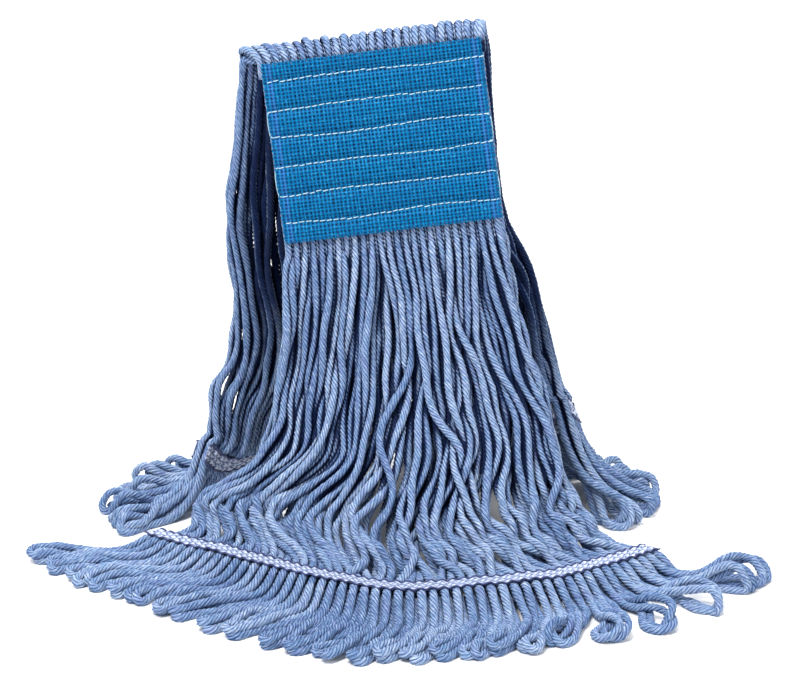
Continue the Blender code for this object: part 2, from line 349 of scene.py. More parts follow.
def front_middle(u, t):
    """The front half's middle surface: u across it, t from the band down to its tail band."""
    start = band_point((u - 0.5) * BAND_WIDTH, -KNUCKLE_DROP, 0.0)
    tail = spline(FRONT_TAIL, u)
    run = front_run(u)
    first = np.stack([0.034 * u**1.3 - 0.002, 0 * u - 0.011, -0.115 - 0.025 * (1 - u)], -1) + start
    second = tail - run * (0.052 + 0.022 * np.abs(1 - 2 * u))[..., None] + np.array((0, 0, 0.014))
    return bezier(start, first, second, tail - run * TAPE_LAND, t[..., None])


def rear_run(u):
    """Which way the rear yarn runs where it passes through its tail band."""
    run = unit(spline(REAR_TIPS, u) - spline(REAR_TAIL, u))
    return unit(run + np.array((0.0, 0.0, -0.9)))


def rear_spread(u):
    """How far the outer rear yarns have slid sideways as they roll over the band's top edge."""
    return -0.0135 * np.clip(1 - u / 0.5, 0, 1) ** 1.7 + 0.0035 * np.clip((u - 0.9) / 0.1, 0, 1) ** 2


def rear_middle(u, t):
    """The rear half's middle surface: u across it, t from the fold down to its tail band."""
    across = (u - 0.5) * (BAND_WIDTH + 0.006) + rear_spread(u)
    start = band_point(across, BAND_HEIGHT - KNUCKLE_DROP, -REAR_SETBACK)
    tail = spline(REAR_TAIL, u)
    side = 2 * u - 1
    splay = -0.013 * (1 - u) ** 2 + 0.006 * u**2
    first = start + np.stack([splay * 1.1, 0.006 + 0.004 * side * side, 0 * u - 0.11], -1)
    run = rear_run(u)
    return bezier(start, first, tail - run * 0.085, tail - run * TAPE_LAND, t[..., None])


def surface(middle, sign, u, t):
    """Middle surface, its direction across and its outward normal."""
    e = NEIGHBOUR
    point = middle(u, t)
    across = middle(np.minimum(u + e, 1.0), t) - middle(np.maximum(u - e, 0.0), t)
    along = middle(u, np.minimum(t + e, 1.0)) - middle(u, np.maximum(t - e, 0.0))
    out = unit(np.cross(across, along)) * sign
    return point, unit(across), out


HALVES = {
    "front": dict(middle=front_middle, sign=-1.0, run=front_run, tail=FRONT_TAIL),
    "rear": dict(middle=rear_middle, sign=1.0, run=rear_run, tail=REAR_TAIL),
}
THICK_AT = (0.0, 0.08, 0.2, 0.34, 0.48, 0.62, 0.75, 0.87, 1.0)
THICK = {
    "front": (0.0056, 0.0068, 0.0082, 0.009, 0.0092, 0.009, 0.0086, 0.0078, 0.0062),
    "rear": (0.0056, 0.0064, 0.0074, 0.0082, 0.0086, 0.0086, 0.0082, 0.0076, 0.0066),
}


def places(layer):
    """Where a layer's yarns stand across the band and across the tail band, as shares."""
    column = np.arange(COLUMNS)
    at_band = np.clip((column + (0.25, 0.75, 0.5, 0.0)[layer]) / COLUMNS, 0.012, 0.988)
    pair, leg = column // 2, column % 2
    slot = ((0.125, 0.375), (0.625, 0.875), (0.22, 0.47), (0.72, 0.97))[layer]
    at_tape = (2 * pair + 2 * np.where(leg == 0, slot[0], slot[1])) / COLUMNS
    return at_band, at_tape


NEW_BUNCH = 0.36  # chance that a yarn starts a new bunch
CLING = 0.36  # how far a yarn moves towards the middle of its bunch
STRAY_SHARE = 0.28  # how far single yarns stand out of line, in spacings
SWING_U = (0.0, 0.12, 0.3, 0.55, 0.8, 1.0)
SWING_SIZE = (0.018, 0.027, 0.03, 0.026, 0.014, 0.003)
SWING_AT = (0.71, 0.71, 0.71, 0.7, 0.68, 0.66)
SWING_REACH = (0.24, 0.25, 0.25, 0.25, 0.25, 0.25)


def sway(half, u, t, shift, vary):
    """The sideways swing of the yarn on its way down: left first, then back to the right."""
    if half == "rear":
        return 0.004 * vary * (bump(t, 0.62, 0.2) - bump(t, 0.35, 0.25) - bump(t, 0.85, 0.14))
    tables = (SWING_SIZE, SWING_AT, SWING_REACH)
    size, at, reach = (np.interp(u, SWING_U, table) for table in tables)
    return -size * vary * bump(t, at + shift, reach)


def hang(half, layer):
    """The yarns of one layer between the band and the tail band, before they settle."""
    rng = np.random.default_rng(100 + 10 * layer + (half == "rear"))
    kind = HALVES[half]
    at_band, at_tape = places(layer)
    t = np.linspace(0.0, 1.0, HUNG_POINTS)[None, :]
    loose = smooth(t / 0.13) * (1 - smooth((t - 0.8) / 0.17))
    tight = (1.0, 0.6, 0.3, 0.2)[layer] * (1.0 if half == "front" else 0.3)
    u = at_band[:, None] + (at_tape - at_band)[:, None] * smooth(t * 1.1)
    # neighbours cling together in bunches
    bunch = np.cumsum(rng.random(COLUMNS) < NEW_BUNCH)
    centre = np.array([u[bunch == g].mean(0) for g in range(bunch.max() + 1) if (bunch == g).any()])
    bunch = np.unique(bunch, return_inverse=True)[1]
    u = u + (centre[bunch] - u) * CLING * tight * loose
    u = u + STRAY_SHARE / COLUMNS * np.clip(rng.normal(size=(COLUMNS, 1)), -1.6, 1.6) * tight * loose
    # a few yarns wander across their neighbours
    strays = rng.choice(COLUMNS - 4, (6, 5, 2, 1)[layer], replace=False) + 2
    over = np.zeros_like(u)
    for k in strays:
        hump = bump(t[0], rng.uniform(0.34, 0.62), rng.uniform(0.22, 0.32))
        u[k] += rng.choice((-1, 1)) * rng.uniform(1.2, 2.4) / COLUMNS * hump
        over[k] = rng.uniform(0.002, 0.0045) * hump
    u = np.clip(u, 0.002, 0.998)
    tt = np.broadcast_to(t, u.shape)
    point, across, out = surface(kind["middle"], kind["sign"], u, tt)
    half_thick = np.interp(t, THICK_AT, THICK[half]) - YARN / 2
    start, end = LAYER_OUT[layer], TAPE_OUT[layer]
    # as the yarns spread out, the lower layers come up between the upper ones
    level = (1.0, 0.4, -0.4, -1.0)[layer] + (0.0, 0.5, 0.5, 0.3)[layer] * smooth((t - 0.08) / 0.42)
    level = level * half_thick
    depth = start + (level - start) * smooth(t / 0.15)
    depth = depth + (end - depth) * smooth((t - 0.75) / 0.25)
    groups = bunch.max() + 1
    phase = 0.024 * wander(COLUMNS, 7, np.random.default_rng(7)) + 0.006 * rng.normal(size=groups)[bunch]
    vary = (1.0, 0.97, 0.9, 0.8)[layer] + 0.17 * wander(COLUMNS, 7, np.random.default_rng(8))
    vary = vary + 0.07 * rng.normal(size=groups)[bunch] + 0.03 * rng.normal(size=COLUMNS)
    swing = sway(half, u, tt, phase[:, None], vary[:, None])

    def wave(turns, start):
        return np.sin(tt * TAU * turns[:, None] + start[:, None])

    sideways = wave(rng.uniform(1.2, 2.2, groups)[bunch], rng.uniform(0, 6.28, groups)[bunch])
    ripple = wave(rng.uniform(3, 5.5, COLUMNS), rng.uniform(0, 6, COLUMNS))
    swing = swing + (0.002 * sideways + 0.0016 * ripple) * loose * (1.0 if half == "front" else 0.7)
    lift = 0.0024 * rng.normal(size=(COLUMNS, 1))
    lift = lift * np.sin(tt * math.pi * 2.4 + rng.uniform(0, 6, (COLUMNS, 1)))
    if half == "front":
        # on the floor the slack stands up in short waves
        heap = wave(rng.uniform(7.0, 9.5, groups)[bunch], rng.uniform(0, 6.28, COLUMNS))
        lift = lift + 0.0024 * (heap + 0.5) * bump(tt, 0.76, 0.2)
    else:
        lift = lift * 0.6
    return point + out * (depth + (lift * loose) + over)[..., None] + across * swing[..., None]


def entry(half, layer):
    """The stretch of each yarn inside the band, down or over its edge, to where it hangs free."""
    at_band, _ = places(layer)
    depth = LAYER_OUT[layer]
    if half == "front":
        x = (at_band - 0.5) * BAND_WIDTH
        ups = np.linspace(BAND_HEIGHT - 0.006, 0.0, 30)
        return band_point(x[:, None], ups[None, :], depth)
    x = (at_band - 0.5) * (BAND_WIDTH + 0.004)
    inside = band_point(x[:, None], np.linspace(-0.011, -0.001, 4)[None, :] + BAND_HEIGHT, depth)
    reach = depth - FOLD_MIDDLE
    rng = np.random.default_rng(240 + layer)
    rise = (0.0085, 0.0062, 0.004, 0.0018)[layer] + 0.0007 * rng.normal(size=(COLUMNS, 1))
    angle = np.linspace(0.0, math.pi, 17)[None, :]
    spread = rear_spread(at_band) + 0.0006 * rng.normal(size=COLUMNS)
    over = band_point(
        x[:, None] + spread[:, None] * smooth(angle / math.pi * 1.4),
        BAND_HEIGHT + 0.0006 + rise * np.sin(angle),
        FOLD_MIDDLE + reach * np.cos(angle),
    )
    return np.concatenate([inside, over], axis=1)


# ---- the loops beyond a tail band
# tables by the place across the half, 0 at the left and 1 at the right
HEAD_AT = (0.0, 0.1, 0.2, 0.3, 0.4, 0.5, 0.6, 0.7, 0.78, 0.86, 0.93, 1.0)
HEAD_END = (-181, -177, -171, -158, -142, -132, -128, -126, -120, -72, -12, 6)  # way of the end
HEAD_HOOK = (24, 48, 52, 16, 0, -4, -8, -10, -20, -26, -12, -6)  # last turn, in degrees
OPEN_AT = (0.0, 0.08, 0.5, 0.72, 0.8, 0.9, 1.0)
OPEN = (0.0058, 0.0032, 0.003, 0.0034, 0.0085, 0.0105, 0.011)  # radius of a loop's end
APART_AT = (0.0, 0.05, 0.78, 0.88, 1.0)
APART = (0.004, 0.0028, 0.0028, 0.0066, 0.0082)  # half the gap between the two legs of a loop
TURNS_AT = (0.72, 0.8, 0.9)
TURNS = (1.6, 0.4, 0.2)  # twist of the open loops at the right
TILT_AT = (0.02, 0.07, 0.78, 0.9)
TILT = (0.7, 0.5, 0.5, 1.0)  # how far a loop stands on its side
BEGIN_AT = (0, 0.15, 0.35, 0.5, 1)
BEGIN = (0.0, 0.02, 0.03, 0.18, 0.05)  # share of a loop at which its bend begins
FINISH_AT = (0.0, 0.12, 0.3, 0.45, 0.8, 1.0)
FINISH = (0.3, 0.32, 0.38, 0.52, 0.58, 0.4)
OPEN_FROM = 0.76  # from here to the right the loops lie open
REAR_APART = 0.0052
REAR_TILT = 0.7


def shared_noise(layer, u, kind):
    """A smooth random number that neighbouring loops share."""
    curve = wander(64, 14, np.random.default_rng(500 + 7 * layer + kind))
    return float(np.interp(u, np.linspace(0, 1, 64), curve))


def front_loop_middle(middle, run, share, u, layer, long):
    """The middle line of a front loop: it turns aside as it goes, and sinks to the floor."""
    first = math.degrees(math.atan2(run[1], run[0]))
    last = np.interp(u, HEAD_AT, HEAD_END) + 9 * shared_noise(layer, u, 0)
    hook = np.interp(u, HEAD_AT, HEAD_HOOK) + 10 * shared_noise(layer, u, 1)
    begin = np.interp(u, BEGIN_AT, BEGIN)
    finish = np.interp(u, FINISH_AT, FINISH)
    bend = smooth((share - begin) / (finish - begin))
    head = np.radians(first + (last - first) * bend + hook * smooth((share - 0.7) / 0.3))
    step = long / (len(share) - 1)
    xy = np.cumsum(np.stack([np.cos(head), np.sin(head)], 1) * step, axis=0)
    xy = np.vstack([[0.0, 0.0], xy[:-1]])
    low = FLOOR_REST + 0.0014 + (0.0034, 0.0024, 0.001, 0.0)[layer]
    z = low + (middle[2] - low) * (1 - smooth(share / 0.36))
    z = z + 0.005 * smooth((share - 0.35) / 0.5) * (u < 0.8)
    return np.column_stack([middle[0] + xy[:, 0], middle[1] + xy[:, 1], z])


def rear_loop_middle(middle, run, share, u, layer, reach):
    """The middle line of a rear loop: down from the tail band and out along the floor."""
    tip = spline(REAR_TIPS, u) + np.array((0, 0, (0.004, 0.0026, 0.0012, 0.0)[layer]))
    tip = middle + (tip - middle) * reach * 0.98
    tip[2] = max(tip[2], FLOOR_REST + 0.001)
    turn = middle + run * np.linalg.norm(tip - middle) * 0.45
    turn[2] = max(turn[2], 0.008)
    s = share[:, None]
    centre = middle * (1 - s) ** 2 + turn * 2 * s * (1 - s) + tip * s * s
    side = unit(np.cross(tip - middle, (0, 0, 1.0)))
    return centre + side * (0.012 * shared_noise(layer, u, 2) * s**2)


def two_legs(centre, a, b, radius, narrow, turns, tilt, share):
    """The yarn out along one side of a loop's middle line and back on the other."""
    along = unit(np.gradient(centre, axis=0))
    wide = unit(np.cross(along, (0.0, 0.0, 1.0)))
    high = np.cross(wide, along)
    near = runs_along(centre)
    left = near[-1] - near
    round_end = np.sqrt(np.maximum(radius**2 - (radius - left) ** 2, 0.0))
    open_to = np.where(left < radius, round_end, radius)
    gap = np.linalg.norm(b - a) / 2
    gapped = gap + (narrow - gap) * smooth((near - 0.01) / 0.036)
    apart = gapped + (open_to - gapped) * smooth((near - near[-1] + 3.2 * radius) / (2.2 * radius))
    spin = TAU * turns * smooth((share - 0.4) / 0.5) + tilt * smooth(near / 0.03)
    swing = wide * np.cos(spin)[:, None] + high * np.sin(spin)[:, None]
    one = centre - swing * apart[:, None]
    two = centre + swing * apart[:, None]
    sunk = np.maximum(FLOOR_REST - np.minimum(one[:, 2], two[:, 2]), 0.0)
    one[:, 2] += sunk
    two[:, 2] += sunk
    fade = (1 - smooth(near / 0.018))[:, None]
    if np.linalg.norm(one[0] - a) > np.linalg.norm(two[0] - a):
        one, two = two, one
    one = one + (a - one[0]) * fade
    two = two + (b - two[0]) * fade
    line = np.vstack([one, two[::-1][1:]])
    line[:, 2] = np.maximum(line[:, 2], FLOOR_REST)
    return line


def loop_line(half, a, b, u, rng, layer):
    """One loop: out from the tail band at a, round its end, and back to b."""
    leg = FRINGE_LENGTH - TAPE_LAND
    middle = (a + b) / 2
    run = HALVES[half]["run"](np.array([u]))[0]
    share = np.linspace(0.0, 1.0, LOOP_POINTS)
    radius = np.interp(u, OPEN_AT, OPEN) * rng.uniform(0.85, 1.2)
    turns = np.interp(u, TURNS_AT, TURNS) * rng.uniform(0.7, 1.25)
    spacing = float(np.interp(u, APART_AT, APART))
    tilt = float(np.interp(u, TILT_AT, TILT))
    if half == "rear":
        radius = 0.009 * rng.uniform(0.8, 1.4)
        turns = rng.uniform(0.05, 0.4)
        spacing, tilt = REAR_APART, REAR_TILT
    elif u < OPEN_FROM:
        # flat on the floor or with one half turn
        turns = rng.choice((0.0, 0.5, 0.5)) + rng.uniform(-0.06, 0.06)
    narrow = spacing * rng.uniform(0.85, 1.2)
    tilt *= rng.uniform(0.6, 1.2)
    long = leg * 0.92
    # four rounds bring the yarn in the loop to its length
    for _ in range(4):
        if half == "front":
            centre = front_loop_middle(middle, run, share, u, layer, long)
        else:
            centre = rear_loop_middle(middle, run, share, u, layer, long / leg)
        line = two_legs(centre, a, b, radius, narrow, turns, tilt, share)
        long *= 2 * leg / lengths(line)
    return line


# ---- one continuous yarn for each layer
def build_chain(half, layer):
    """Points of one layer's yarn from end to end, and which of them are held."""
    rng = np.random.default_rng(900 + 10 * layer + (half == "rear"))
    inside = entry(half, layer)
    hung = hang(half, layer)
    _, at_tape = places(layer)
    kind = HALVES[half]
    tail = spline(kind["tail"], at_tape)
    run = kind["run"](at_tape)
    out_dir = surface(kind["middle"], kind["sign"], at_tape, np.ones(COLUMNS))[2]
    land = tail + run * TAPE_LAND + out_dir * TAPE_OUT[layer]
    if half == "rear":
        # the roll over the top joins the hanging stretch a little below the edge
        hung = hung[:, 3:]
    points, held, strand = [], [], []

    def add(line, fixed, number):
        points.append(line)
        held.append(np.broadcast_to(fixed, len(line)))
        strand.append(np.full(len(line), number))

    for column in range(COLUMNS):
        entry_line = resample(inside[column], max(3, steps(inside[column])))
        hung_line = resample(hung[column], steps(hung[column]))
        land_line = resample(np.vstack([hung[column][-1], land[column]]), 4)
        course = np.vstack([entry_line[:-1], hung_line[:-1], land_line])
        fixed = np.ones(len(course), bool)
        fixed[len(entry_line) + 1:-len(land_line)] = False
        if column % 2 == 0:
            # down from the band, and round the loop to the next column
            add(course, fixed, column)
            u = (at_tape[column] + at_tape[column + 1]) / 2
            loop = loop_line(half, land[column], land[column + 1], u, rng, layer)
            add(resample(loop, steps(loop))[1:-1], False, column + 0.5)
            continue
        add(course[::-1], fixed[::-1], column)
        if column < COLUMNS - 1:
            # up into the band, and round to the next column inside it
            a, b = inside[column][0], inside[column + 1][0]
            angle = np.linspace(0, math.pi, 5)[1:-1, None]
            deep = 0.0028 * (1 if half == "front" else -1)
            arc = (a + b) / 2 + (a - b) / 2 * np.cos(angle) + UP * deep * np.sin(angle)
            add(arc, True, column + 0.5)
    return np.vstack(points), np.concatenate(held), np.concatenate(strand)


def near_pairs(p, reach):
    """Index pairs of points that lie within reach of each other, each pair once."""
    cell = np.floor((p - p.min(0)) / reach).astype(np.int64) + 1
    size = cell.max(0) + 2
    key = (cell[:, 0] * size[1] + cell[:, 1]) * size[2] + cell[:, 2]
    order = np.argsort(key, kind="stable")
    sorted_key = key[order]
    found_a, found_b = [], []
    cells = [(x, y, z) for x in (-1, 0, 1) for y in (-1, 0, 1) for z in (-1, 0, 1)]
    for x, y, z in [c for c in cells if c >= (0, 0, 0)]:
        other = sorted_key + (x * size[1] + y) * size[2] + z
        low = np.searchsorted(sorted_key, other, "left")
        high = np.searchsorted(sorted_key, other, "right")
        if (x, y, z) == (0, 0, 0):
            low = np.arange(len(p)) + 1
        count = np.maximum(high - low, 0)
        a = np.repeat(np.arange(len(p)), count)
        start = np.repeat(np.cumsum(count) - count, count)
        b = np.arange(len(a)) - start + np.repeat(low, count)
        a, b = order[a], order[b]
        near = ((p[a] - p[b]) ** 2).sum(1) < reach * reach
        found_a.append(a[near])
        found_b.append(b[near])
    return np.concatenate(found_a), np.concatenate(found_b)


PASSES = 150
QUICK_PASSES = 40
SINK = 0.0001  # how far a free point sinks in one pass
SHOVE = 0.0012  # the furthest that neighbours push a point in one pass
TOUCH = YARN * 0.97  # closer than this, two yarns push each other away
SEARCH = YARN * 1.35  # how far to look for neighbours
SEARCH_EVERY = 5  # passes


def settle(chains, passes):
    """Lets the yarns push each other aside, keep their lengths and lie on the floor."""
    p = np.vstack([c[0] for c in chains])
    held = np.concatenate([c[1] for c in chains])
    owner = np.concatenate([np.full(len(c[0]), i) for i, c in enumerate(chains)])
    serial = np.arange(len(p))
    link = np.flatnonzero(owner[:-1] == owner[1:])
    rest = np.linalg.norm(p[link + 1] - p[link], axis=1)
    rest = np.clip(rest, STEP * 0.8, STEP * 1.15)
    free = (~held).astype(float)
    wish = p.copy()
    groups = [link[link % 2 == 0], link[link % 2 == 1]]
    rests = [rest[link % 2 == 0], rest[link % 2 == 1]]
    inner = np.zeros(len(p), bool)
    inner[1:-1] = owner[:-2] == owner[2:]
    inner &= ~held
    mid = np.flatnonzero(inner)
    for turn in range(passes):
        late = turn / max(passes - 1, 1)
        if turn % SEARCH_EVERY == 0:
            a, b = near_pairs(p, SEARCH)
            far = (np.abs(serial[a] - serial[b]) > 3) | (owner[a] != owner[b])
            keep = far & (free[a] + free[b] > 0)
            a, b = a[keep], b[keep]
        p[:, 2] -= SINK * free
        p += (wish - p) * (0.03 * (1 - late) + 0.004) * free[:, None]
        gap = p[b] - p[a]
        dist = np.sqrt((gap**2).sum(1)) + 1e-9
        push = np.maximum(TOUCH - dist, 0.0) / dist
        weight = free[a] + free[b]
        move = gap * (push / weight)[:, None] * 0.5
        total = np.zeros_like(p)
        for k in range(3):
            total[:, k] += np.bincount(b, move[:, k] * free[b], len(p))
            total[:, k] -= np.bincount(a, move[:, k] * free[a], len(p))
        size = np.sqrt((total**2).sum(1)) + 1e-12
        p += total * np.minimum(1.0, SHOVE / size)[:, None]
        for _ in range(2):
            for g, r in zip(groups, rests):
                d = p[g + 1] - p[g]
                n = np.sqrt((d**2).sum(1)) + 1e-12
                w = free[g] + free[g + 1]
                c = d * ((n - r) / n / np.maximum(w, 1e-9))[:, None]
                p[g] += c * free[g][:, None]
                p[g + 1] -= c * free[g + 1][:, None]
        off = p - wish
        p[mid] += 0.25 * ((off[mid - 1] + off[mid + 1]) / 2 - off[mid])
        p[:, 2] = np.where(held, p[:, 2], np.maximum(p[:, 2], YARN * 0.49))
    return np.split(p, np.cumsum([len(c[0]) for c in chains])[:-1])


def rings(points, strand, spacing):
    """Evenly spaced centre points on a smooth curve through the points, with their strand number."""
    full = with_ends(points)
    t = np.linspace(0, 1, 5)[None, :-1, None]
    fine = between(full[:-3, None], full[1:-2, None], full[2:-1, None], full[3:, None], t)
    fine = np.vstack([fine.reshape(-1, 3), points[-1]])
    run = runs_along(fine)
    count = max(2, round(run[-1] / spacing))
    at = np.linspace(0, run[-1], count + 1)
    number = np.append(np.repeat(strand[:-1], 4), strand[-1])
    return read_line(fine, run, at), at, np.interp(at, run, number)


def carry_frames(line):
    """A side direction for each point of a line that turns as little as it can."""
    along = unit(np.gradient(line, axis=0))
    side = np.empty_like(line)
    first = np.cross(along[0], (0.0, 0.0, 1.0))
    if np.linalg.norm(first) < 0.1:
        first = np.cross(along[0], (1.0, 0.0, 0.0))
    s = first / np.linalg.norm(first)
    side[0] = s
    for i in range(1, len(line)):
        t = along[i]
        s = s - t * (s @ t)
        s = s / math.sqrt(s @ s)
        side[i] = s
    return along, side, np.cross(along, side)


def mesh_from(name, verts, parts, mat, **attributes):
    """A mesh object from arrays: parts is a list of (n, 3) or (n, 4) arrays of faces."""
    mesh = bpy.data.meshes.new(name)
    loops = np.concatenate([f.reshape(-1) for f in parts]).astype(np.int32)
    sizes = np.concatenate([np.full(len(f), f.shape[1]) for f in parts])
    mesh.vertices.add(len(verts))
    mesh.vertices.foreach_set("co", np.asarray(verts, np.float32).reshape(-1))
    mesh.loops.add(len(loops))
    mesh.loops.foreach_set("vertex_index", loops)
    mesh.polygons.add(len(sizes))
    starts = np.concatenate([[0], np.cumsum(sizes)[:-1]]).astype(np.int32)
    mesh.polygons.foreach_set("loop_start", starts)
    mesh.polygons.foreach_set("use_smooth", np.full(len(sizes), True))
    mesh.update(calc_edges=True)
    mesh.validate()
    for key, value in attributes.items():
        kind, field = ("FLOAT_VECTOR", "vector") if value.ndim == 2 else ("FLOAT", "value")
        made = mesh.attributes.new(key, kind, "POINT")
        made.data.foreach_set(field, value.astype(np.float32).reshape(-1))
    mesh.materials.append(mat)
    obj = bpy.data.objects.new(name, mesh)
    bpy.context.scene.collection.objects.link(obj)
    return obj


def assign(obj, body, slot, *nodes):
    """Ties a piece to its body, its material slot and the nodes it replaces."""
    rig.ride(obj, body)
    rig.replaces(obj, *nodes)
    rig.slot(obj, slot)


def circle(around):
    return np.arange(around) * TAU / around


def tube_points(line, radius, angle):
    """Rings of points round a line: radius and angle have a column for each point of a ring."""
    _, side, up = carry_frames(line)
    return (
        line[:, None]
        + side[:, None] * (radius * np.cos(angle))[..., None]
        + up[:, None] * (radius * np.sin(angle))[..., None]
    )


def tube_faces(count, around, offset=0):
    i = np.arange(count - 1)[:, None]
    j = np.arange(around)[None, :]
    k = (j + 1) % around
    a, b = i * around + j, i * around + k
    return np.stack([a, b, b + around, a + around], -1).reshape(-1, 4) + offset


def cap_faces(count, around, offset=0):
    """Fans that close the first and the last ring of a tube."""
    fan = np.array([(0, k + 1, k) for k in range(1, around - 1)])
    return np.vstack([fan, fan[:, ::-1] + (count - 1) * around]) + offset


PLIES = 6
ROUND = 3 * PLIES
LOBE = np.array((0.81, 1.05, 1.05) * PLIES)  # a groove and two points on the crown of each ply
PAINTED_SHADE_REACH = 0.01  # yarns further away than this add no painted shade to each other


def painted_inner_shadow(half, line, strand, skin):
    """How far each point of the skin faces into the dark space between the two halves, 0 to 1: a painted shadow inside
    the mop.
    """
    normal = unit(skin - line[:, None])
    facing = normal[..., 1] * (1.0 if half == "front" else -1.0)
    high = smooth((line[:, 2] - 0.05) / 0.13)
    top = 1 - smooth(((line - BAND_FOOT) @ UP - BAND_HEIGHT + 0.004) / 0.006)
    across = np.clip((strand + 0.5) / COLUMNS, 0.0, 1.0)
    behind = 1.0 if half == "front" else smooth((across - 0.02) / 0.09)
    return smooth((facing + 0.35) / 1.1) * (high * top * behind)[:, None]


def crowding(lines, verts):
    """For each point of each yarn's skin, how closely other yarns press over it, 0 to 1: the painted shade between the
    yarns.
    """
    centre = np.vstack(lines)
    skin = np.concatenate(verts)
    normal = unit(skin - centre[:, None])
    owner = np.concatenate([np.full(len(line), i) for i, line in enumerate(lines)])
    a, b = near_pairs(centre, PAINTED_SHADE_REACH)
    keep = (np.abs(a - b) > 3) | (owner[a] != owner[b])
    a, b = a[keep], b[keep]
    total = np.zeros(skin.shape[:2])
    for one, two in ((a, b), (b, a)):
        for first in range(0, len(one), 60000):
            i, j = one[first:first + 60000], two[first:first + 60000]
            way = centre[j][:, None] - skin[i]
            far = np.linalg.norm(way, axis=2)
            facing = np.maximum((way * normal[i]).sum(2), 0.0) / (far + 1e-9)
            near = np.clip(1.35 - far / 0.008, 0.0, 1.0) ** 1.5
            for k in range(ROUND):
                total[:, k] += np.bincount(i, (near * facing)[:, k], len(total))
    cuts = np.cumsum([len(line) for line in lines])[:-1]
    return np.split(np.clip(total / 2.6, 0.0, 1.0), cuts)


def yarn_skin(line, run, seed, swell):
    """Points round a plied yarn: fine plies in a left-handed twist, with thick and thin places."""
    rng = np.random.default_rng(seed)
    angle = circle(ROUND)[None, :] - TAU * run[:, None] / PLY_PITCH
    thick = 1 + 0.07 * uneven(run, 0.009, 0.02, rng) + swell
    rough = 1 + 0.034 * rng.normal(size=(len(line), ROUND))
    radius = YARN / 2 * 0.975 * LOBE[None, :] * thick[:, None] * rough
    return tube_points(line, radius, angle)


def yarn_mesh(name, run, strand, seed, verts, crowd):
    """The mesh of one plied yarn, with the values its material reads."""
    n = len(run)
    angle = circle(ROUND)[None, :]
    fibre = np.stack(np.broadcast_arrays(np.cos(angle), np.sin(angle), (run / YARN)[:, None]), -1)
    strands = np.arange(0, 200) / 2
    shade = np.random.default_rng(seed + 1).uniform(-1, 1, len(strands))
    tone = np.repeat(np.interp(strand, strands, shade), ROUND)
    return mesh_from(
        name, verts.reshape(-1, 3), [tube_faces(n, ROUND), cap_faces(n, ROUND)], YARN_LOOK,
        fibre=fibre.reshape(-1, 3), tone=tone, crown=np.tile(LOBE, n), crowd=crowd.reshape(-1),
    )


# ---- materials
class Nodes:
    """A short way to write a material's node tree."""

    def __init__(self, name):
        self.material = bpy.data.materials.new(name)
        self.material.use_nodes = True
        self.tree = self.material.node_tree
        self.shader = self.tree.nodes["Principled BSDF"]

    def add(self, kind, inputs, output, **settings):
        """A new node's output. Its inputs are values, colours or other outputs, by socket."""
        node = self.tree.nodes.new("ShaderNode" + kind)
        for key, value in settings.items():
            setattr(node, key, value)
        for key, value in inputs.items():
            self.feed(node.inputs[key], value)
        return node.outputs[output]

    def feed(self, socket, value):
        if isinstance(value, bpy.types.NodeSocket):
            self.tree.links.new(value, socket)
        else:
            socket.default_value = value

    def set(self, **values):
        """Feeds the shader's own sockets."""
        for key, value in values.items():
            self.feed(self.shader.inputs[key.replace("_", " ")], value)

    def attribute(self, name, output="Fac"):
        return self.add("Attribute", {}, output, attribute_name=name, attribute_type="GEOMETRY")

    def place(self):
        return self.add("TexCoord", {}, "Object")

    def noise(self, vector, scale, detail, rough):
        inputs = {"Vector": vector, "Scale": scale, "Detail": detail, "Roughness": rough}
        return self.add("TexNoise", inputs, "Fac")

    def scaled(self, vector, scale):
        return self.add("Mapping", {"Vector": vector, "Scale": scale}, "Vector")

    def span(self, value, a, b, c, d):
        inputs = {"Value": value, "From Min": a, "From Max": b, "To Min": c, "To Max": d}
        return self.add("MapRange", inputs, "Result")

    def maths(self, how, a, b):
        return self.add("Math", {0: a, 1: b}, 0, operation=how)

    def total(self, *parts):
        """The sum of outputs, each with its weight."""
        made = self.maths("MULTIPLY", *parts[0])
        for part in parts[1:]:
            made = self.maths("ADD", made, self.maths("MULTIPLY", *part))
        return made

    def ramp(self, value, *stops):
        fac = self.add("ValToRGB", {"Fac": value}, "Color")
        elements = fac.node.color_ramp.elements
        while len(elements) < len(stops):
            elements.new(0.5)
        for element, (at, colour) in zip(elements, stops):
            element.position = at
            element.color = colour
        return fac

    def mix(self, factor, a, b):
        """Colour a, or colour b where the factor is 1."""
        return self.add("Mix", {0: factor, 6: a, 7: b}, 2, data_type="RGBA")

    def bump(self, height, strength, distance):
        inputs = {"Height": height, "Strength": strength, "Distance": distance}
        self.set(Normal=self.add("Bump", inputs, "Normal"))


def srgb(r, g, b):
    def one(v):
        v /= 255
        return v / 12.92 if v <= 0.04045 else ((v + 0.055) / 1.055) ** 2.4

    return (one(r), one(g), one(b), 1.0)


